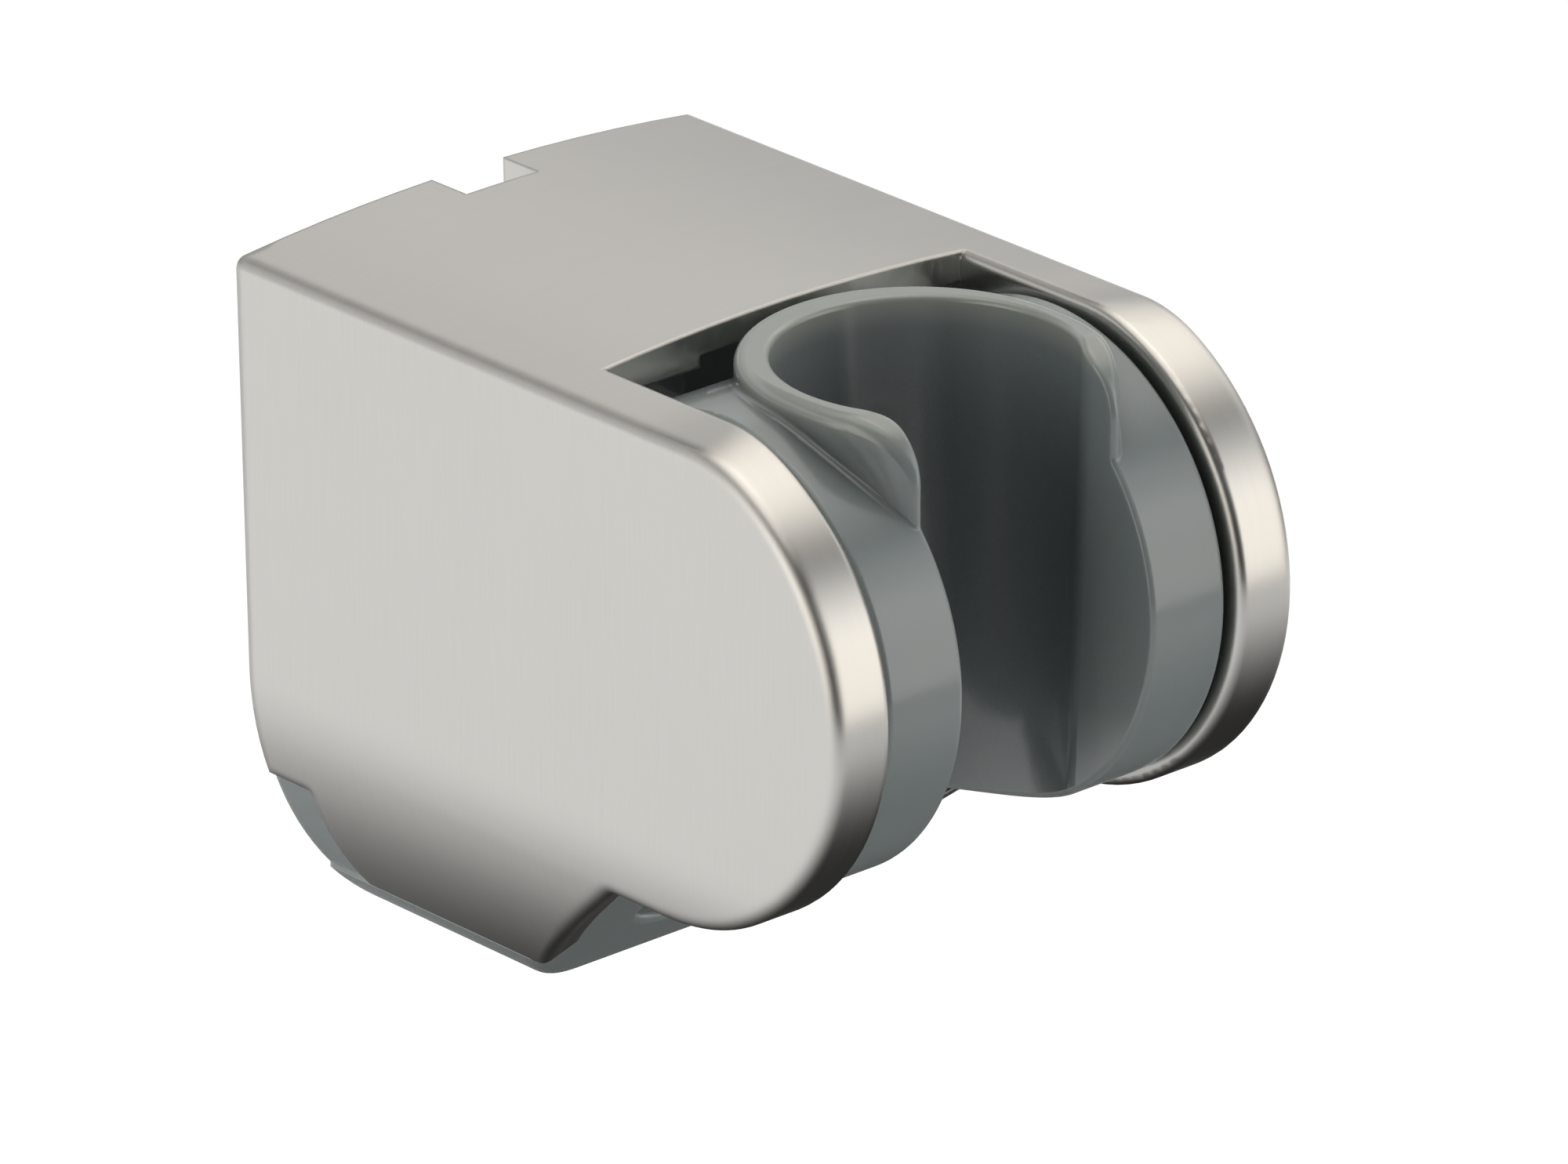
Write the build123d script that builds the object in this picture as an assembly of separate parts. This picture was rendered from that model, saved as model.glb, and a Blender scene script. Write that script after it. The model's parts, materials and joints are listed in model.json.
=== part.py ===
from build123d import *

import os
from math import acos, asin, cos, degrees, radians, sin, sqrt, tan

# Wall-mounted holder for a hand shower, in millimetres.
# A plated cover with two round-ended arms slides onto a grey wall base.
# A grey cradle tilts between the arms and takes the cone of the shower hose.
# The model is drawn about the tilt axis: X across, Y towards the wall, Z up.
# The finished pieces are then moved so that the origin lies on the wall,
# midway between the two wall screws.

# Driving dimensions: where the tilt axis lies
pivot_reach = 52.0
pivot_height = 9.7
tilt_range = 45.0

# Driving dimensions: the cradle, built around its socket
socket_radius = 12.7
socket_taper = 1.4
socket_offset = 4.7
socket_lean = 1.3
slot_lip = 1.0
slot_corner_round = 4.0
slot_edge_round = 0.5
collar_wall = 2.1
collar_stretch = 1.1
collar_rise = 1.8
collar_rim_round = 1.2
collar_root_round = 0.5
ear_tip = 0.8
ear_drop_radius = 5.6
barrel_radius = 20.5
barrel_shoulder = 3.7
barrel_back_wall = 2.8
barrel_back_chamfer = 1.2
barrel_end_round = 0.6

# Driving dimensions: the body that the cover and the base share
barrel_gap = 0.6
arm_thickness = 6.0
arm_proud = 1.15
crown_proud = 0.45
crown_rise = 1.5
side_bend_start = 15.2
side_bend_turn = 60.85
bottom_depth = 41.4
bottom_corner_radius = 8.0
chin_start = 6.6
chin_slope = 40.5

# Driving dimensions: the cover
back_gap = 1.4
cover_wall = 2.3
cover_wall_gap = 0.3
rear_lean = 1.4
edge_round = 1.0
shoulder_round = 12.0
chin_root_radius = 2.0
inner_edge_round = 0.8
lip_drop = 1.3
lip_thickness = 2.0
lip_window_half = 9.35
lip_window_round = 0.5
notch_half = 3.9
notch_depth = 4.4
rear_cut_height = 25.4
rear_cut_depth = 6.8
bottom_opening_half = 17.0

# Driving dimensions: the wall base
base_fit = 0.2
base_wall = 2.5
base_plate = 3.5
base_top_gap = 1.3
tub_gap = 0.55
flange_inset = 1.0
chin_inset = 0.3
chin_plate = 1.6
chin_skin = 1.1
chin_foot_round = 2.5
relief_radius = 11.5
relief_centre = 10.6
relief_round = 0.7
wall_screw_spacing = 30.0
wall_screw_hole = 4.8
wall_screw_head = 9.2
catch_height = 10.0
catch_length = 10.0
catch_thickness = 1.6
catch_hook = 0.8
catch_hook_length = 2.5
catch_level = 2.0
catch_clearance = 0.2

# Driving dimensions: the pivots, one in each arm
pin_diameter = 5.0
pin_engagement = 1.8
pin_tail = 2.2
pin_nose_round = 0.5
pin_clearance = 0.05
pin_end_gap = 0.4
spring_space = 3.2
spring_wire = 0.45
spring_turns = 3.0
spring_clearance = 0.1
bush_wall = 1.5
bush_flange_width = 2.0
bush_flange = 0.8
bush_fit = 0.02
ring_inner_radius = 8.0
ring_width = 1.8
ring_groove_depth = 1.1
ring_fit = 0.05
stop_radius = 14.5
stop_width = 1.8
stop_span = 10.0
stop_start = 45.0
stop_height = 1.2
stop_clearance = 0.4

# Derived sizes: the cradle
socket_bottom_radius = socket_radius - socket_taper
slot_half = socket_bottom_radius - slot_lip
collar_radius = socket_radius + collar_wall
collar_height = barrel_radius + collar_rise
barrel_half = collar_radius + barrel_shoulder
barrel_back = socket_radius - socket_offset + barrel_back_wall

# Derived sizes: the body
half_gap = barrel_half + barrel_gap
half_width = half_gap + arm_thickness
slot_back = barrel_back + back_gap
rim_radius = barrel_radius + arm_proud
crown_height = rim_radius + crown_proud
side_bend_radius = (bottom_depth - side_bend_start) / sin(radians(side_bend_turn))
wall_y = pivot_reach
cover_back = wall_y - cover_wall_gap
base_top = crown_height - crown_rise - cover_wall - base_top_gap
tub_top = rim_radius + tub_gap
opening_top = side_bend_start + side_bend_radius / 2

# Derived sizes: the pivots
pin_radius = pin_diameter / 2
pin_bore = pin_radius + pin_clearance
pin_tip = half_gap + pin_engagement
pin_end = barrel_half - pin_tail
pin_hole_end = pin_end - spring_space
bush_radius = pin_bore + bush_wall
bush_flange_radius = bush_radius + bush_flange_width
bush_end = pin_tip + pin_end_gap
ring_outer_radius = ring_inner_radius + ring_width

# Room for cutting tools beyond the body, and limits for picking edges
overshoot = 5.0
above = crown_height + overshoot
below = bottom_depth + overshoot
in_front = rim_radius + overshoot
room = half_width + overshoot
near = 0.05
sharp_angle = 25.0


def along_y(face, start, end):
    """Extrude a front-view face from one depth to another."""
    return extrude(Plane.XZ.offset(-end) * face, end - start)


def across_x(face, half):
    """Extrude a side-view face to both sides of the middle."""
    return extrude(Plane.YZ * face, half, both=True)


def block(x_low, x_high, y_low, y_high, z_low, z_high):
    """A box between two corners."""
    size = (x_high - x_low, y_high - y_low, z_high - z_low)
    centre = ((x_low + x_high) / 2, (y_low + y_high) / 2, (z_low + z_high) / 2)
    return Pos(*centre) * Box(*size)


def disc(radius, start, end):
    """A cylinder about the tilt axis, between two places along X."""
    return Pos((start + end) / 2, 0, 0) * Rot(0, 90, 0) * Cylinder(radius, end - start)


def tube(inner, outer, start, end):
    """A ring about the tilt axis, between two places along X."""
    return disc(outer, start, end) - disc(inner, start, end)


def both_sides(piece):
    """A piece on the right with its mirror image on the left."""
    return [piece, mirror(piece, about=Plane.YZ)]


def meeting_angle(edge, solid):
    """The angle between the two faces that meet at an edge."""
    sides = [face for face in solid.faces() if any(edge.is_same(other) for other in face.edges())]
    middle = edge @ 0.5
    return sides[0].normal_at(middle).get_angle(sides[-1].normal_at(middle))


def sharp_edges(solid, wanted):
    """The edges that are not smooth and whose middle the test accepts."""
    found = [edge for edge in solid.edges() if wanted(edge @ 0.5)]
    return [edge for edge in found if meeting_angle(edge, solid) > sharp_angle]


def on_chin(distance):
    """A plane on the slanted chin, some way down it, facing out."""
    slope = radians(chin_slope)
    place = (0, chin_start + distance * cos(slope), -rim_radius - distance * sin(slope))
    return Plane(origin=place, x_dir=(1, 0, 0), z_dir=(0, -sin(slope), -cos(slope)))


def behind_chin(setback):
    """Everything behind the slanted chin, set back square to its face."""
    size = 4 * (half_width + pivot_reach)
    return on_chin(0) * Pos(0, 0, -setback - size / 2) * Box(size, size, size)


def chin_slab(skin, clearance):
    """The base's chin plate, which stops short of the outside by a skin of the cover."""
    slab = along_y(body_section(skin), -in_front, wall_y)
    slab &= block(-room, room, -in_front, wall_y, -below, -tub_top + clearance)
    return (slab & behind_chin(chin_inset - clearance)) - behind_chin(chin_inset + chin_plate + clearance)


def behind_rear(setback):
    """Everything behind the rear edge, which leans off the wall towards the bottom."""
    size = 4 * (half_width + pivot_reach)
    edge = Pos(0, wall_y - setback, crown_height) * Rot(-rear_lean, 0, 0)
    return edge * Pos(0, size / 2, 0) * Box(size, size, size)


def body_section(inset=0.0):
    """The body seen from the front: crowned top, flat sides, bent-under bottom."""
    half = half_width - inset
    crown_radius = (half_width**2 + crown_rise**2) / (2 * crown_rise)
    crown_centre = crown_height - crown_radius
    top = crown_height - inset
    top_edge = crown_centre + sqrt((crown_radius - inset) ** 2 - half**2)
    bottom = bottom_depth - inset
    bend_radius = side_bend_radius - inset
    bend_x = half - bend_radius
    bend_angle = asin((bottom - side_bend_start) / bend_radius)
    corner_x = bend_x + bend_radius * cos(bend_angle)
    middle_x = bend_x + bend_radius * cos(bend_angle / 2)
    middle_z = -side_bend_start - bend_radius * sin(bend_angle / 2)
    outline = [
        ThreePointArc((-half, top_edge), (0, top), (half, top_edge)),
        Line((half, top_edge), (half, -side_bend_start)),
        ThreePointArc((half, -side_bend_start), (middle_x, middle_z), (corner_x, -bottom)),
        Line((corner_x, -bottom), (-corner_x, -bottom)),
        ThreePointArc((-corner_x, -bottom), (-middle_x, middle_z), (-half, -side_bend_start)),
        Line((-half, -side_bend_start), (-half, top_edge)),
    ]
    face = make_face(outline)
    return fillet(face.vertices().group_by(Axis.Y)[0], bottom_corner_radius - inset)


def stop_arc(width, start, end, depth_start, depth_end):
    """A curved bar about the tilt axis; angles run back from straight down."""
    inner = stop_radius - width / 2
    outer = stop_radius + width / 2
    middle = (start + end) / 2

    def at(distance, angle):
        return (distance * sin(radians(angle)), -distance * cos(radians(angle)))

    outline = [
        ThreePointArc(at(outer, start), at(outer, middle), at(outer, end)),
        Line(at(outer, end), at(inner, end)),
        ThreePointArc(at(inner, end), at(inner, middle), at(inner, start)),
        Line(at(inner, start), at(outer, start)),
    ]
    return extrude(Plane.YZ.offset(depth_start) * make_face(outline), depth_end - depth_start)


def catch_hook_block(clearance):
    """The hook of the base's right catch, grown by a clearance for its pocket."""
    outer = half_width - cover_wall - base_fit
    tip_y = wall_y - base_plate - catch_length
    return block(
        outer - clearance,
        outer + base_fit + catch_hook + clearance,
        tip_y - clearance,
        tip_y + catch_hook_length + clearance,
        catch_level - catch_height / 2 - clearance,
        catch_level + catch_height / 2 + clearance,
    )


def cover_form():
    """The outside of the cover: front view and side view cut from each other, then rounded."""
    low_y = chin_start + (below - rim_radius) / tan(radians(chin_slope))
    outline = [
        Polyline((0, rim_radius), (0, above), (wall_y, above), (wall_y, -below), (low_y, -below)),
        Polyline((low_y, -below), (chin_start, -rim_radius), (0, -rim_radius)),
        ThreePointArc((0, -rim_radius), (-rim_radius, 0), (0, rim_radius)),
    ]
    profile = make_face(outline)
    root = profile.vertices().sort_by_distance((chin_start, -rim_radius))[0]
    profile = fillet(root, chin_root_radius)
    form = along_y(body_section(), -in_front, cover_back) & across_x(profile, room)
    form -= block(-half_gap, half_gap, -in_front, slot_back, -below, above)

    def on_shoulder(edge):
        middle = edge @ 0.5
        mostly_across = abs((edge % 0.5).X) > sin(radians(sharp_angle))
        return mostly_across and abs(middle.X) > half_gap and middle.Y < 0 and middle.Z > 0

    def on_outer_edge(spot):
        return abs(spot.X) > half_gap + near and spot.Y < cover_back - near

    def on_inner_edge(spot):
        by_the_slot = abs(abs(spot.X) - half_gap) < near and spot.Y < slot_back - edge_round
        return by_the_slot and spot.Z > -rim_radius - near

    form = fillet([edge for edge in form.edges() if on_shoulder(edge)], shoulder_round)
    form = fillet(sharp_edges(form, on_outer_edge), edge_round)
    return fillet(sharp_edges(form, on_inner_edge), inner_edge_round)


def arm_hollow():
    """What is sunk into the right arm: the bush's seat, the stop's groove, the catch's pocket."""
    hollow = disc(bush_radius + bush_fit, half_gap, bush_end)
    hollow += disc(bush_flange_radius + bush_fit, half_gap, half_gap + bush_flange)
    slack = degrees(stop_clearance / stop_radius)
    hollow += stop_arc(
        stop_width + 2 * stop_clearance,
        -stop_start - stop_span / 2 - slack,
        -stop_start + stop_span / 2 + tilt_range + slack,
        half_gap,
        half_gap + stop_height + stop_clearance,
    )
    return hollow + catch_hook_block(catch_clearance)


def make_cover():
    """Plated cover: a shell behind the slot and two solid arms in front of it."""
    cover = cover_form()
    inside = body_section(cover_wall)
    cover -= along_y(inside, slot_back, wall_y)
    under_arms = block(-room, room, -in_front, wall_y, -below, -rim_radius)
    cover -= along_y(inside, -in_front, wall_y) & under_arms

    lip_low = crown_height - cover_wall - lip_drop
    lip_high = crown_height - cover_wall / 2
    lip = block(-room, room, slot_back, slot_back + lip_thickness, lip_low, lip_high)
    lip &= along_y(body_section(cover_wall / 2), 0, wall_y)
    window_high = crown_height - cover_wall
    window = block(-lip_window_half, lip_window_half, 0, wall_y, lip_low - overshoot, window_high)
    cover += lip - fillet(window.edges().filter_by(Axis.Y), lip_window_round)

    cover -= block(-bottom_opening_half, bottom_opening_half, 0, wall_y, -below, -opening_top)
    cover -= block(-room, room, wall_y - rear_cut_depth, wall_y, -below, -rear_cut_height)
    cover -= block(-notch_half, notch_half, cover_back - notch_depth, wall_y, 0, above)
    cover -= chin_slab(chin_skin, base_fit)
    cover -= behind_rear(cover_wall_gap)
    for hollow in both_sides(arm_hollow()):
        cover -= hollow
    return cover


def make_wall_base():
    """Grey base: a wall plate, a tub that closes the underside, and the slanted chin."""
    inset = cover_wall + base_fit
    inner = body_section(inset)
    tub = along_y(inner, -in_front, wall_y) & block(-room, room, -in_front, wall_y, -below, -tub_top)
    tub &= behind_chin(chin_inset)
    plug_half = bottom_opening_half - base_fit
    plug_top = opening_top + base_fit
    plug_room = block(-plug_half, plug_half, -in_front, wall_y, -below, -plug_top)
    plug = along_y(body_section(), -in_front, wall_y) & plug_room & behind_chin(chin_inset)

    def on_foot(spot):
        on_face = abs(on_chin(0).to_local_coords(spot).Z + chin_inset) < near
        return on_face and abs(spot.X) < plug_half - near and spot.Z < -plug_top - near

    plug = fillet([edge for edge in plug.edges() if on_foot(edge @ 0.5)], chin_foot_round)
    wings = chin_slab(chin_skin + base_fit, 0) - plug_room
    flange_front = wall_y - rear_cut_depth + base_fit
    flange = along_y(Pos(0, -flange_inset) * body_section(flange_inset), flange_front, wall_y)
    flange &= block(-room, room, -in_front, wall_y, -below, -rear_cut_height - base_fit)
    sump_half = plug_half - base_wall
    flange -= block(-sump_half, sump_half, -in_front, wall_y, -below, 0)
    plate = along_y(inner, wall_y - base_plate, wall_y)
    plate &= block(-room, room, -in_front, wall_y, -below, base_top)
    base = tub + wings + ((plug + flange) - behind_rear(0)) + plate

    plate_front = wall_y - base_plate
    hollow = along_y(body_section(inset + base_wall), -in_front, plate_front)
    hollow &= block(-room, room, -in_front, wall_y, -below, -tub_top + overshoot)
    sump = along_y(body_section(base_wall), -in_front, plate_front)
    hollow += sump & block(-sump_half, sump_half, -in_front, wall_y, -below, -tub_top)
    base -= hollow & behind_chin(chin_inset + base_wall)

    relief_depth = chin_inset + base_wall + overshoot
    relief = on_chin(relief_centre) * Cylinder(relief_radius, 2 * relief_depth)
    base -= relief & block(-room, room, -in_front, plate_front, -below, 0)

    def on_relief(spot):
        place = on_chin(relief_centre).to_local_coords(spot)
        return abs(place.Z + chin_inset) < near and Vector(place.X, place.Y).length < relief_radius + near

    base = fillet(sharp_edges(base, on_relief), relief_round)

    catch_outer = half_width - inset
    tongue = block(
        catch_outer - catch_thickness,
        catch_outer,
        plate_front - catch_length,
        wall_y - base_plate / 2,
        catch_level - catch_height / 2,
        catch_level + catch_height / 2,
    )
    for catch in both_sides(tongue + catch_hook_block(0)):
        base += catch

    sink = (wall_screw_head - wall_screw_hole) / 2
    for step in (-1, 1):
        spot = Pos(0, wall_y, -pivot_height + step * wall_screw_spacing / 2) * Rot(90, 0, 0)
        base -= spot * Cylinder(wall_screw_hole / 2, 4 * base_plate)
        head = Cone(wall_screw_hole / 2, wall_screw_head / 2, sink)
        base -= spot * Pos(0, 0, base_plate - sink / 2) * head
    return base


def socket_section(height):
    """The socket and its front slot at one height: a ring open to the front with rounded lips."""
    fall = (collar_height - height) / (collar_height + barrel_radius)
    radius = socket_radius - socket_taper * fall
    centre_y = -socket_offset - socket_lean * fall
    lip_x = slot_half + slot_corner_round
    lip_y = sqrt((radius + slot_corner_round) ** 2 - lip_x**2)
    share = radius / (radius + slot_corner_round)
    ring_x = lip_x * share
    ring_y = centre_y - lip_y * share
    outline = [Line((-slot_half, -in_front), (slot_half, -in_front))]
    outline += [ThreePointArc((-ring_x, ring_y), (0, centre_y + radius), (ring_x, ring_y))]
    for side in (1, -1):
        wall_end = (side * slot_half, centre_y - lip_y)
        outline += [Line((side * slot_half, -in_front), wall_end)]
        outline += [TangentArc(wall_end, (side * ring_x, ring_y), tangent=(0, 1))]
    return Pos(0, 0, height) * make_face(outline)


def socket_form():
    """The tapered socket, its foot ahead of its rim, with its front slot, as a solid to cut away."""
    foot = socket_section(-barrel_radius - overshoot)
    return loft([foot, socket_section(collar_height + overshoot)])


def collar_plan(growth=0.0):
    """The collar seen from above: a circle stretched a little to the front and back."""
    plan = SlotCenterToCenter(2 * collar_stretch, 2 * (collar_radius + growth), rotation=90)
    return Pos(0, -socket_offset) * plan


def collar_form():
    """The rim round the socket before the socket is cut, falling in an arc to its front."""
    front_y = -socket_offset - collar_stretch - sqrt(collar_radius**2 - (slot_half + ear_tip) ** 2)
    front_z = collar_height - ear_drop_radius
    drop_y = front_y + ear_drop_radius
    outline = [
        RadiusArc((front_y, front_z), (drop_y, collar_height), ear_drop_radius),
        Polyline((drop_y, collar_height), (in_front, collar_height), (in_front, 0), (front_y, 0)),
        Line((front_y, 0), (front_y, front_z)),
    ]
    collar = extrude(collar_plan(), collar_height) & across_x(make_face(outline), half_gap)
    return fillet(sharp_edges(collar, lambda spot: spot.Z > near), collar_rim_round)


def barrel_back_cut():
    """What the barrel's flat back takes away, with chamfers that stop at the collar."""
    corner = acos(barrel_back / barrel_radius)
    upper = corner + barrel_back_chamfer / barrel_radius
    flat = Vector(barrel_back, barrel_radius * sin(corner) - barrel_back_chamfer)
    crease = Vector(barrel_radius * cos(upper), barrel_radius * sin(upper))
    beyond = crease + (crease - flat).normalized() * overshoot
    outline = Polyline(flat, crease, beyond, (in_front, beyond.Y), (in_front, flat.Y), close=True)
    chamfer_cut = across_x(make_face(outline), half_gap)
    chamfer_cut += mirror(chamfer_cut, about=Plane.XY)
    chamfer_cut -= extrude(collar_plan(collar_root_round), above)
    return chamfer_cut + block(-half_gap, half_gap, barrel_back, in_front, -in_front, above)


def make_cradle():
    """Grey cradle: a barrel between the arms with a collared, open-fronted socket."""
    barrel = disc(barrel_radius, -barrel_half, barrel_half)
    barrel = fillet(barrel.edges().filter_by(GeomType.CIRCLE), barrel_end_round)
    collar = collar_form()
    body = barrel + collar
    body = fillet(new_edges(barrel, collar, combined=body), collar_root_round)
    body -= barrel_back_cut()
    socket = socket_form()
    cradle = body - socket
    socket_edges = new_edges(body, socket, combined=cradle)
    sharp = [edge for edge in socket_edges if meeting_angle(edge, cradle) > sharp_angle]
    cradle = fillet(sharp, slot_edge_round)
    hollow = disc(pin_bore, pin_hole_end, half_gap)
    hollow += tube(ring_inner_radius, ring_outer_radius, barrel_half - ring_groove_depth, half_gap)
    for cut in both_sides(hollow):
        cradle -= cut
    low = -stop_start - stop_span / 2
    foot = barrel_half - barrel_end_round
    lug = stop_arc(stop_width, low, low + stop_span, foot, half_gap + stop_height)
    for stop in both_sides(lug):
        cradle += stop
    return cradle


def make_pin():
    """Steel pivot pin on the right: a round-nosed rod from the cradle into the arm."""
    pin = disc(pin_radius, pin_end, pin_tip)
    return fillet(pin.edges().filter_by(GeomType.CIRCLE).sort_by(Axis.X)[-1], pin_nose_round)


def make_spring():
    """Coil spring of square wire on the right, behind the pin in the cradle's blind hole."""
    coil_radius = pin_bore - spring_clearance - spring_wire / 2
    length = spring_space - spring_wire - 2 * spring_clearance
    path = Helix(length / spring_turns, length, coil_radius)
    wire = Plane(origin=path @ 0, x_dir=(1, 0, 0), z_dir=path % 0) * Rectangle(spring_wire, spring_wire)
    start = pin_hole_end + spring_clearance + spring_wire / 2
    return Pos(start, 0, 0) * Rot(0, 90, 0) * sweep(wire, path=path, is_frenet=True)


def make_bush():
    """Flanged bush on the right, flush in the inner face of the arm."""
    bush = disc(bush_radius, half_gap, bush_end)
    bush += disc(bush_flange_radius, half_gap, half_gap + bush_flange)
    return bush - disc(pin_bore, half_gap, bush_end)


def make_friction_ring():
    """Rubber ring on the right, seated in the cradle and rubbing on the arm."""
    inner = ring_inner_radius + ring_fit
    outer = ring_outer_radius - ring_fit
    return tube(inner, outer, barrel_half - ring_groove_depth, half_gap - ring_fit)


def export(name, piece):
    """Move a finished piece to the wall frame and write it."""
    export_step(Pos(0, -pivot_reach, pivot_height) * piece, f"parts/{name}.step")


os.makedirs("parts", exist_ok=True)
export("cover", make_cover())
export("wall_base", make_wall_base())
export("cradle", make_cradle())
pivot_pieces = {
    "pivot_pin": make_pin(),
    "pivot_spring": make_spring(),
    "pivot_bush": make_bush(),
    "friction_ring": make_friction_ring(),
}
for name, piece in pivot_pieces.items():
    for side, placed in zip(("right", "left"), both_sides(piece)):
        export(f"{name}_{side}", placed)
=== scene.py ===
import json
from math import cos, radians, sin

import bpy
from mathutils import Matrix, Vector


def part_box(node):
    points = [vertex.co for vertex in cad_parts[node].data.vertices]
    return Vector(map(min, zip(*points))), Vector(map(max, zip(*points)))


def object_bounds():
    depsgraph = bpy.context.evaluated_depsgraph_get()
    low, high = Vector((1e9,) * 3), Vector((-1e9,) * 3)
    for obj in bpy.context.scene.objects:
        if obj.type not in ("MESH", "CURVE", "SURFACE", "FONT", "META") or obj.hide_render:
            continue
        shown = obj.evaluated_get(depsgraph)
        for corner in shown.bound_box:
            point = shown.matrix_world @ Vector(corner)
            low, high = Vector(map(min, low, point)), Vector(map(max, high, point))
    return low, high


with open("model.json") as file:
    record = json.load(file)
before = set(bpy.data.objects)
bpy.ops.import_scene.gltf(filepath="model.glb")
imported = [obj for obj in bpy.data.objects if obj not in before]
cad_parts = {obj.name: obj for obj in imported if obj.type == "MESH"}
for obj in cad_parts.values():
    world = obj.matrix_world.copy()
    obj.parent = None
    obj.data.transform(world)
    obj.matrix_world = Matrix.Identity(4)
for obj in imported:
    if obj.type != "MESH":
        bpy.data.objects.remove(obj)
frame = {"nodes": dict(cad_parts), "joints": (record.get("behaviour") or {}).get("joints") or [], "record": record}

cad_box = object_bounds()

WHITE = (1, 1, 1, 1)

# Camera: where it looks, from which side in degrees, and how far away
CAMERA_AIM = Vector((-0.00597, -0.04619, 0.01052))
CAMERA_AZIMUTH = -41.974
CAMERA_ELEVATION = 22.725
CAMERA_DISTANCE = 1.1438
CAMERA_LENS = 324.0
CAMERA_SENSOR = 36.0

# Floor: a round disc below the object, which hangs free as if on its wall.
# The lift whitens what the camera sees of it and lights nothing else.
FLOOR_DROP = 0.10
FLOOR_RADIUS = 0.6
FLOOR_SIDES = 96
FLOOR_COLOUR = (0.84, 0.84, 0.84, 1)
FLOOR_LIFT = 0.42

# Floor as the metal mirrors it, with painted shade: a painted shadow dark round one point, white further off, and
# dimmer towards the front
PAINTED_SHADOW_POINT = Vector((0.085, -0.015))
PAINTED_SHADOW_CORE = 0.07
PAINTED_SHADOW_REACH = 0.34
PAINTED_SHADOW_LEVEL = 0.03
PAINTED_FRONT_SHADE_REACH = 0.4
PAINTED_FRONT_SHADE_LEVEL = 0.7

# Studio walls, by the height and depth of a direction: a cove that brightens upwards,
# a bright strip low down at the back, and a dim room above
COVE_FOOT = 0.3
COVE_TOP = 0.94
COVE_START = 0.12
COVE_RISE = 0.5
COVE_END = 0.61
STRIP_LEVEL = 1.0
STRIP_TOP = 0.14
STRIP_FRONT = 0.1
STRIP_BACK = 0.5
ROOM_LEVEL = 0.22

# Softboxes and a dark screen: each has its level up to the inner angle and fades until the outer one
SOFTBOX_TINT = (1.0, 0.95, 0.88, 1)
SOFTBOXES = [
    {"toward": (0.617, 0.12, 0.777), "inner": 4, "outer": 36, "level": 1.0},
    {"toward": (0.617, -0.786, 0.0), "inner": 8, "outer": 32, "level": 1.35},
    {"toward": (-1, 0, 0), "inner": 8, "outer": 33, "level": 1.5},
    {"toward": (0, 0, 1), "inner": 18, "outer": 42, "level": 1.05},
]
SCREEN = {"toward": (-0.57, -0.82, 0), "inner": 40, "outer": 66, "level": 0.15}

# Brushed nickel: colours, roughness and streaks, the streaks as so many to the metre
NICKEL_DARK = (0.605, 0.592, 0.561, 1)
NICKEL_LIGHT = (0.665, 0.652, 0.622, 1)
NICKEL_ROUGHNESS = (0.275, 0.305)
BRUSH_STRETCH = 0.6
BRUSH_STRENGTH = 0.09
STREAKS_ACROSS = 5000
STREAKS_ALONG = 120
STREAK_SHARE = 0.7
CLOUD_SCALE = 90
RIM_FACING = 0.5
RIM_BLEND = 0.008

# Plating softens the edges of the cover, more so on its outside, which starts this far from the middle
INNER_SOFTNESS = 0.0004
OUTER_SOFTNESS = 0.0013
OUTSIDE_START = 0.0205
OUTSIDE_FULL = 0.0225

# Grey plastic: colours, gloss and the light that it lets in
PLASTIC_DARK = (0.258, 0.3, 0.309, 1)
PLASTIC_LIGHT = (0.27, 0.312, 0.321, 1)
PLASTIC_ROUGHNESS = (0.14, 0.18)
PLASTIC_IOR = 1.7
PLASTIC_FLOW_SCALE = 60
PLASTIC_GRAIN_SCALE = 1800
PLASTIC_GRAIN_STRENGTH = 0.03
LIGHT_ENTRY_SHARE = 0.5
LIGHT_ENTRY_COLOUR = (1.0, 1.0, 0.9)
LIGHT_ENTRY_DEPTH = 0.0016

# Painted light: moulded edges are painted paler over this width, and so is the collar's thin rim, in place of the
# light that shines through them.
# The turns are cosines of the angle by which a rounded edge bends the surface.
PAINTED_LIGHT_COLOUR = (0.42, 0.44, 0.39, 1)
PALE_EDGE = 0.0007
PAINTED_EDGE_LIGHT_SHARE = 0.85
FULL_TURN = 0.7
FIRST_TURN = 0.97
THIN_RIM = 0.003
PAINTED_RIM_LIGHT_SHARE = 0.55

# Painted shade: the plastic's colour is darkened in the depth of the socket, where less of the space around it is
# open
PAINTED_SHADE_COLOUR = (0.04, 0.046, 0.048, 1)
CAVITY_REACH = 0.025
PAINTED_SHADE_SHARE = 0.86
CAVITY_OPEN_LOW = 0.38
CAVITY_OPEN_HIGH = 1.0
CAVITY_SAMPLES = 8

# Rounding of edges in the materials, height of the finest surface grain, and the usual span of a noise
EDGE_SAMPLES = 6
GRAIN_HEIGHT = 0.00001
NOISE_LOW = 0.3
NOISE_HIGH = 0.7

# Sockets of the mix node that take and give each kind of value
MIX_SOCKETS = {"FLOAT": (2, 3, 0), "VECTOR": (4, 5, 1), "RGBA": (6, 7, 2)}

pivot_y = frame["joints"][0]["pos_m"][1]


def add_node(tree, kind, inputs=None, **settings):
    """A node with its settings made and its inputs set to values or linked to sockets."""
    node = tree.nodes.new(kind)
    for name, value in settings.items():
        setattr(node, name, value)
    for name, value in (inputs or {}).items():
        if isinstance(value, bpy.types.NodeSocket):
            tree.links.new(value, node.inputs[name])
        else:
            node.inputs[name].default_value = value
    return node


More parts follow.
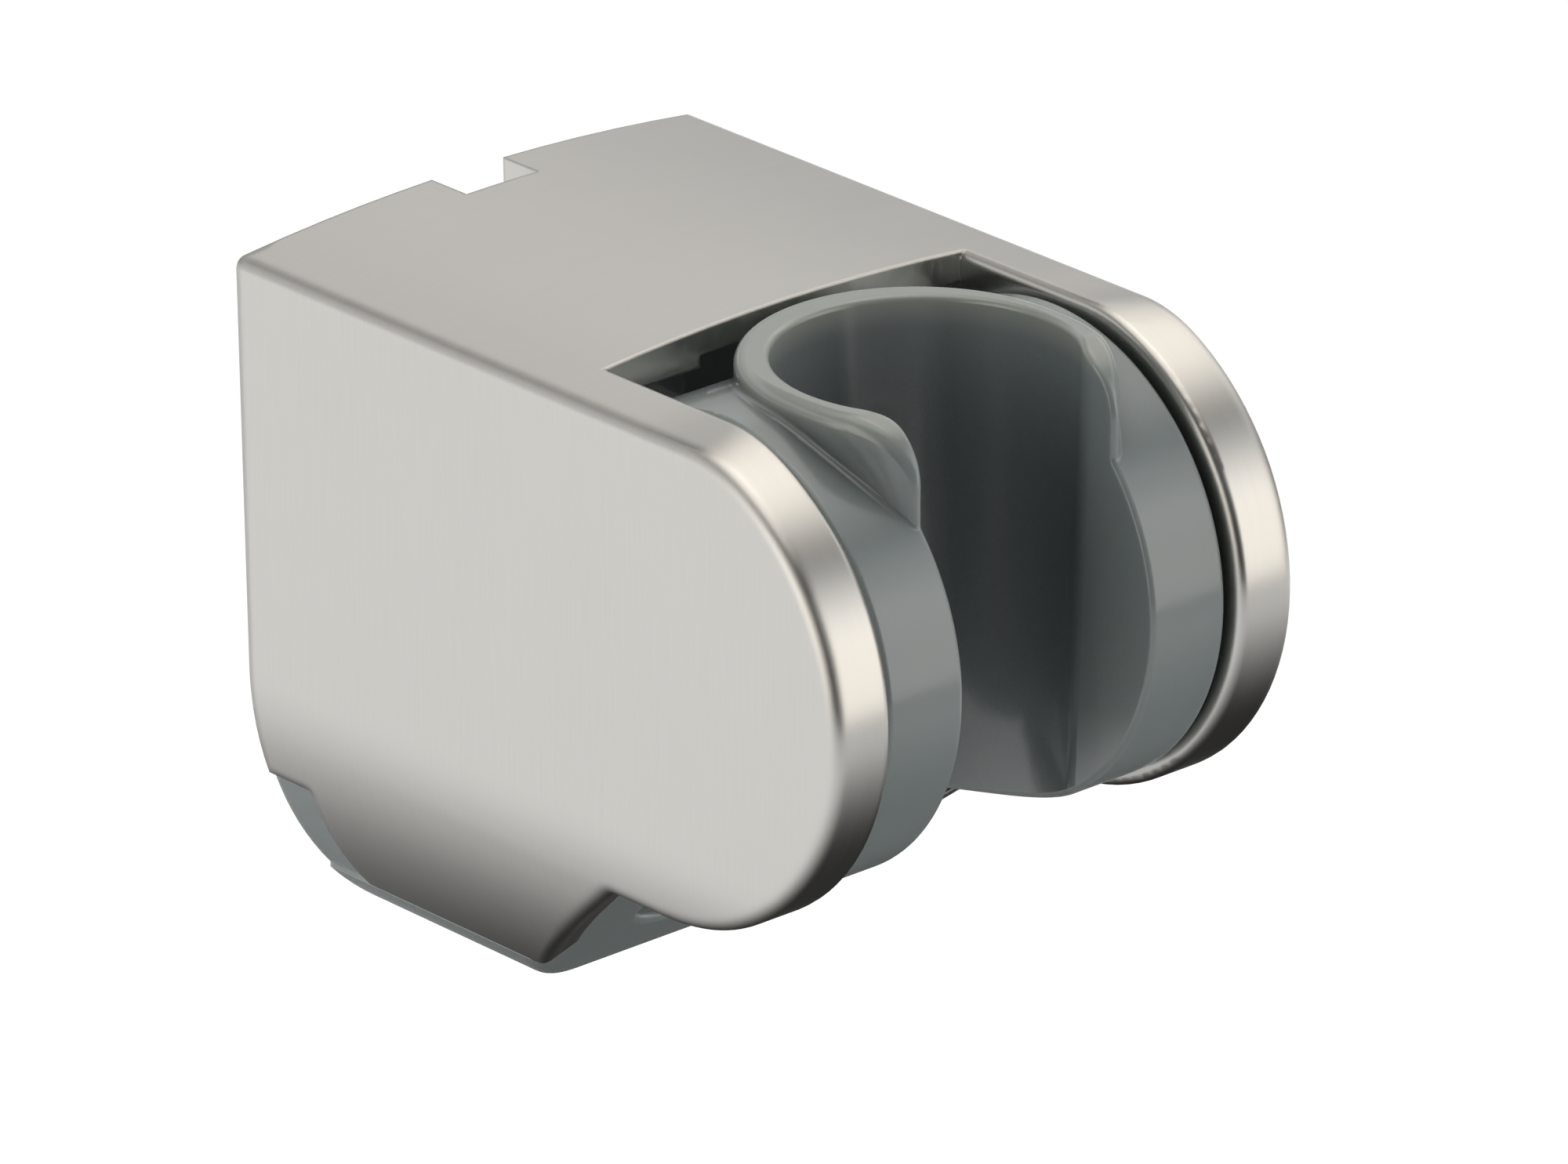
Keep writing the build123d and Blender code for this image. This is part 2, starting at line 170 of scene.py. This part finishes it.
def number_math(tree, operation, first, second=0.0):
    """The result of one sum on two numbers or sockets."""
    return add_node(tree, "ShaderNodeMath", {0: first, 1: second}, operation=operation).outputs[0]


def vector_math(tree, operation, first, second):
    """The outputs of one sum on two vectors or sockets."""
    return add_node(tree, "ShaderNodeVectorMath", {0: first, 1: second}, operation=operation).outputs


def split(tree, vector):
    """The three parts of a vector."""
    return add_node(tree, "ShaderNodeSeparateXYZ", {0: vector}).outputs


def remap(tree, value, low, high, to_low, to_high, curve="SMOOTHSTEP"):
    """A value carried from one range to another, held at both ends."""
    inputs = {"Value": value, "From Min": low, "From Max": high, "To Min": to_low, "To Max": to_high}
    return add_node(tree, "ShaderNodeMapRange", inputs, interpolation_type=curve).outputs[0]


def mix(tree, kind, share, first, second):
    """A blend of two numbers, vectors or colours."""
    first_socket, second_socket, result = MIX_SOCKETS[kind]
    inputs = {"Factor": share, first_socket: first, second_socket: second}
    return add_node(tree, "ShaderNodeMix", inputs, data_type=kind).outputs[result]


def noise(tree, coordinates, scale, detail=2.0):
    """Noise with its own scale along each axis, in features to the metre."""
    scaled = vector_math(tree, "MULTIPLY", coordinates, scale)[0]
    inputs = {"Vector": scaled, "Scale": 1.0, "Detail": detail}
    return add_node(tree, "ShaderNodeTexNoise", inputs).outputs["Fac"]


def even_noise(tree, coordinates, scale, detail=2.0):
    """Noise with the same scale along all axes."""
    return noise(tree, coordinates, (scale, scale, scale), detail)


def spread(tree, pattern, low, high):
    """A noise pattern spread over a range of values."""
    return remap(tree, pattern, NOISE_LOW, NOISE_HIGH, low, high, "LINEAR")


def bump(tree, height, strength, distance=GRAIN_HEIGHT, normal=None):
    """A normal, the surface's own unless another is given, disturbed by a height."""
    inputs = {"Height": height, "Strength": strength, "Distance": distance}
    if normal:
        inputs["Normal"] = normal
    return add_node(tree, "ShaderNodeBump", inputs).outputs[0]


def rounded_normal(tree, radius):
    """The surface's normal with its edges rounded over."""
    return add_node(tree, "ShaderNodeBevel", {"Radius": radius}, samples=EDGE_SAMPLES).outputs[0]


def new_material(name):
    """An empty material and its node tree."""
    material = bpy.data.materials.new(name)
    material.use_nodes = True
    material.node_tree.nodes.clear()
    return material, material.node_tree


def finish_surface(tree, inputs):
    """A principled surface on the material's output."""
    surface = add_node(tree, "ShaderNodeBsdfPrincipled", inputs)
    add_node(tree, "ShaderNodeOutputMaterial", {"Surface": surface.outputs[0]})


def brushed_nickel():
    """Satin nickel: brushed across the top and up the sides, and round the rims of the arms."""
    material, tree = new_material("brushed_nickel")
    place = add_node(tree, "ShaderNodeTexCoord").outputs
    spot = split(tree, place["Object"])
    sideways = number_math(tree, "ABSOLUTE", split(tree, place["Normal"])["X"])
    edge_on = number_math(tree, "LESS_THAN", sideways, RIM_FACING)
    forward = remap(tree, spot["Y"], pivot_y - RIM_BLEND, pivot_y + RIM_BLEND, 1.0, 0.0)
    on_rim = number_math(tree, "MULTIPLY", edge_on, forward)

    across_body = noise(tree, place["Object"], (STREAKS_ALONG, STREAKS_ACROSS, STREAKS_ALONG))
    round_rim = noise(tree, place["Object"], (STREAKS_ACROSS, STREAKS_ALONG, STREAKS_ALONG))
    streaks = mix(tree, "FLOAT", on_rim, across_body, round_rim)
    cloud = even_noise(tree, place["Object"], CLOUD_SCALE)
    streak_part = number_math(tree, "MULTIPLY", streaks, STREAK_SHARE)
    cloud_part = number_math(tree, "MULTIPLY", cloud, 1 - STREAK_SHARE)
    shade = number_math(tree, "ADD", streak_part, cloud_part)

    outward = number_math(tree, "ABSOLUTE", spot["X"])
    softness = remap(tree, outward, OUTSIDE_START, OUTSIDE_FULL, INNER_SOFTNESS, OUTER_SOFTNESS)
    softened = rounded_normal(tree, softness)
    finish_surface(tree, {
        "Base Color": mix(tree, "RGBA", shade, NICKEL_DARK, NICKEL_LIGHT),
        "Metallic": 1.0,
        "Roughness": spread(tree, streaks, *NICKEL_ROUGHNESS),
        "Anisotropic": BRUSH_STRETCH,
        "Tangent": mix(tree, "VECTOR", on_rim, (0, 1, 0), (1, 0, 0)),
        "Normal": bump(tree, streaks, BRUSH_STRENGTH, normal=softened),
    })
    return material


def painted_light_share(tree, height, collar_top):
    """How much painted light makes the plastic paler: at its edges and in the thin rim of the collar."""
    surface = add_node(tree, "ShaderNodeNewGeometry").outputs["Normal"]
    turn = vector_math(tree, "DOT_PRODUCT", surface, rounded_normal(tree, PALE_EDGE))["Value"]
    edges = remap(tree, turn, FULL_TURN, FIRST_TURN, PAINTED_EDGE_LIGHT_SHARE, 0.0)
    thin = remap(tree, height, collar_top - THIN_RIM, collar_top, 0.0, PAINTED_RIM_LIGHT_SHARE)
    return number_math(tree, "MAXIMUM", edges, thin)


def painted_shade_share(tree, depth, cradle_back):
    """How much painted shade darkens the colour where the cradle closes round a point; the base, which lies behind
    it, has none of this.
    """
    inputs = {"Distance": CAVITY_REACH}
    around = add_node(tree, "ShaderNodeAmbientOcclusion", inputs, only_local=True, samples=CAVITY_SAMPLES)
    closed = remap(tree, around.outputs["AO"], CAVITY_OPEN_LOW, CAVITY_OPEN_HIGH, PAINTED_SHADE_SHARE, 0.0)
    return number_math(tree, "MULTIPLY", closed, number_math(tree, "LESS_THAN", depth, cradle_back))


def grey_plastic():
    """Moulded grey plastic with an even gloss, a little translucent, with painted light at its edges and collar
    rim and painted shade deep in the socket.
    """
    material, tree = new_material("grey_plastic")
    place = add_node(tree, "ShaderNodeTexCoord").outputs["Object"]
    spot = split(tree, place)
    cradle_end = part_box("cradle")[1]
    flow = even_noise(tree, place, PLASTIC_FLOW_SCALE)
    grain = even_noise(tree, place, PLASTIC_GRAIN_SCALE)
    body = mix(tree, "RGBA", flow, PLASTIC_DARK, PLASTIC_LIGHT)
    # Painted shade: the colour is darkened deep in the socket
    body = mix(tree, "RGBA", painted_shade_share(tree, spot["Y"], cradle_end.y), body, PAINTED_SHADE_COLOUR)
    finish_surface(tree, {
        # Painted light: a paler colour at the edges and the collar rim
        "Base Color": mix(tree, "RGBA", painted_light_share(tree, spot["Z"], cradle_end.z), body, PAINTED_LIGHT_COLOUR),
        "IOR": PLASTIC_IOR,
        "Roughness": spread(tree, grain, *PLASTIC_ROUGHNESS),
        "Subsurface Weight": LIGHT_ENTRY_SHARE,
        "Subsurface Radius": LIGHT_ENTRY_COLOUR,
        "Subsurface Scale": LIGHT_ENTRY_DEPTH,
        "Normal": bump(tree, grain, PLASTIC_GRAIN_STRENGTH),
    })
    return material


def steel():
    """Drawn stainless steel with fine lines along the rod."""
    material, tree = new_material("steel")
    place = add_node(tree, "ShaderNodeTexCoord").outputs["Object"]
    lines = noise(tree, place, (200, 6000, 6000))
    finish_surface(tree, {
        "Base Color": mix(tree, "RGBA", lines, (0.5, 0.5, 0.5, 1), (0.64, 0.64, 0.63, 1)),
        "Metallic": 1.0,
        "Roughness": spread(tree, lines, 0.22, 0.34),
        "Normal": bump(tree, lines, 0.15),
    })
    return material


def white_plastic():
    """Moulded acetal, off-white and matt."""
    material, tree = new_material("white_plastic")
    place = add_node(tree, "ShaderNodeTexCoord").outputs["Object"]
    cloud = even_noise(tree, place, 400, detail=3.0)
    finish_surface(tree, {
        "Base Color": mix(tree, "RGBA", cloud, (0.68, 0.68, 0.65, 1), (0.76, 0.76, 0.73, 1)),
        "Roughness": spread(tree, cloud, 0.38, 0.5),
        "Subsurface Weight": 0.2,
        "Subsurface Scale": 0.001,
        "Normal": bump(tree, cloud, 0.05, distance=2 * GRAIN_HEIGHT),
    })
    return material


def black_rubber():
    """Matt black rubber with a fine bloom."""
    material, tree = new_material("black_rubber")
    place = add_node(tree, "ShaderNodeTexCoord").outputs["Object"]
    bloom = even_noise(tree, place, 1500, detail=4.0)
    finish_surface(tree, {
        "Base Color": mix(tree, "RGBA", bloom, (0.012, 0.012, 0.012, 1), (0.03, 0.03, 0.03, 1)),
        "Roughness": spread(tree, bloom, 0.6, 0.8),
        "Normal": bump(tree, bloom, 0.2, distance=3 * GRAIN_HEIGHT),
    })
    return material


def dress_nodes():
    """Every CAD node takes the finish of its material slot."""
    makers = [brushed_nickel, grey_plastic, steel, white_plastic, black_rubber]
    finishes = {maker.__name__: maker() for maker in makers}
    for part in frame["record"]["subparts"]:
        mesh = frame["nodes"][part["node"]].data
        mesh.materials.clear()
        mesh.materials.append(finishes[part["material_slot"]])


def mirrored_floor_painted_shade(tree, low):
    """The floor's brightness where the object mirrors it or lets it through, with a painted shadow round one point
    and painted shade towards the front.
    """
    place = add_node(tree, "ShaderNodeNewGeometry").outputs["Position"]
    painted_shadow_point = (PAINTED_SHADOW_POINT.x, PAINTED_SHADOW_POINT.y, low)
    away = vector_math(tree, "DISTANCE", place, painted_shadow_point)["Value"]
    level = remap(tree, away, PAINTED_SHADOW_CORE, PAINTED_SHADOW_REACH, PAINTED_SHADOW_LEVEL, 1.0)
    front = remap(tree, split(tree, place)["Y"], -PAINTED_FRONT_SHADE_REACH, 0.0, PAINTED_FRONT_SHADE_LEVEL, 1.0)
    return number_math(tree, "MULTIPLY", level, front)


def lay_floor():
    """White floor that keeps the object's shadow, and has a painted shadow and painted shade where the metal
    mirrors it.
    """
    low = cad_box[0].z - FLOOR_DROP
    shape = {"vertices": FLOOR_SIDES, "radius": FLOOR_RADIUS, "fill_type": "NGON"}
    bpy.ops.mesh.primitive_circle_add(location=(0, 0, low), **shape)
    floor = bpy.context.object
    floor.name = "floor"
    material, tree = new_material("floor_white")
    rays = add_node(tree, "ShaderNodeLightPath").outputs
    in_object = number_math(tree, "MAXIMUM", rays["Is Glossy Ray"], rays["Is Transmission Ray"])
    matt = add_node(tree, "ShaderNodeBsdfDiffuse", {"Color": FLOOR_COLOUR}).outputs[0]
    lift = add_node(tree, "ShaderNodeEmission", {"Color": WHITE, "Strength": FLOOR_LIFT}).outputs[0]
    lifted = add_node(tree, "ShaderNodeAddShader", {0: matt, 1: lift}).outputs[0]
    plain = add_node(tree, "ShaderNodeMixShader", {0: rays["Is Camera Ray"], 1: matt, 2: lifted}).outputs[0]
    # Painted shadow and shade, seen only in reflections and through glass
    glow = {"Color": WHITE, "Strength": mirrored_floor_painted_shade(tree, low)}
    mirrored = add_node(tree, "ShaderNodeEmission", glow).outputs[0]
    whole = add_node(tree, "ShaderNodeMixShader", {0: in_object, 1: plain, 2: mirrored}).outputs[0]
    add_node(tree, "ShaderNodeOutputMaterial", {"Surface": whole})
    floor.data.materials.append(material)


def sky_patch(tree, toward, patch, outside):
    """The level of a patch of the surroundings, which fades to another level outside it."""
    heading = tuple(Vector(patch["toward"]).normalized())
    facing = vector_math(tree, "DOT_PRODUCT", toward, heading)["Value"]
    far, near = cos(radians(patch["outer"])), cos(radians(patch["inner"]))
    return remap(tree, facing, far, near, outside, patch["level"])


def studio_walls(tree, toward):
    """The brightness of the cove, the strip at the back and the room above, behind the dark screen."""
    parts = split(tree, toward)
    height = parts["Z"]
    cove = remap(tree, height, COVE_START, COVE_RISE, COVE_FOOT, COVE_TOP, "LINEAR")
    behind = remap(tree, parts["Y"], STRIP_FRONT, STRIP_BACK, 0.0, STRIP_LEVEL)
    strip = number_math(tree, "MULTIPLY", behind, remap(tree, height, 0.0, STRIP_TOP, 1.0, 0.0))
    walls = number_math(tree, "MAXIMUM", cove, strip)
    upward = remap(tree, height, COVE_RISE, COVE_END, 1.0, ROOM_LEVEL / COVE_TOP)
    room = number_math(tree, "MULTIPLY", walls, upward)
    return number_math(tree, "MULTIPLY", room, sky_patch(tree, toward, SCREEN, 1.0))


def light_studio():
    """World light: studio walls and softboxes round the object, and plain white for the camera."""
    world = bpy.data.worlds.new("studio")
    world.use_nodes = True
    tree = world.node_tree
    tree.nodes.clear()
    rays = add_node(tree, "ShaderNodeLightPath").outputs
    toward = add_node(tree, "ShaderNodeTexCoord").outputs["Generated"]
    walls = {"Color": WHITE, "Strength": studio_walls(tree, toward)}
    studio = add_node(tree, "ShaderNodeBackground", walls).outputs[0]
    for box in SOFTBOXES:
        glow = {"Color": SOFTBOX_TINT, "Strength": sky_patch(tree, toward, box, 0.0)}
        lamp = add_node(tree, "ShaderNodeBackground", glow).outputs[0]
        studio = add_node(tree, "ShaderNodeAddShader", {0: studio, 1: lamp}).outputs[0]
    white = add_node(tree, "ShaderNodeBackground", {"Color": WHITE, "Strength": 1.0}).outputs[0]
    shown = add_node(tree, "ShaderNodeMixShader", {0: rays["Is Camera Ray"], 1: studio, 2: white}).outputs[0]
    add_node(tree, "ShaderNodeOutputWorld", {"Surface": shown})
    bpy.context.scene.world = world


def place_camera():
    """The photograph's viewpoint."""
    around, up = radians(CAMERA_AZIMUTH), radians(CAMERA_ELEVATION)
    back = Vector((sin(around) * cos(up), -cos(around) * cos(up), sin(up)))
    lens = bpy.data.cameras.new("camera")
    lens.lens = CAMERA_LENS
    lens.sensor_width = CAMERA_SENSOR
    lens.clip_end = 2 * CAMERA_DISTANCE
    camera = bpy.data.objects.new("camera", lens)
    camera.location = CAMERA_AIM + CAMERA_DISTANCE * back
    camera.rotation_euler = (-back).to_track_quat("-Z", "Y").to_euler()
    bpy.context.scene.collection.objects.link(camera)
    bpy.context.scene.camera = camera


dress_nodes()
lay_floor()
light_studio()
place_camera()
bpy.context.scene.view_settings.view_transform = "Standard"
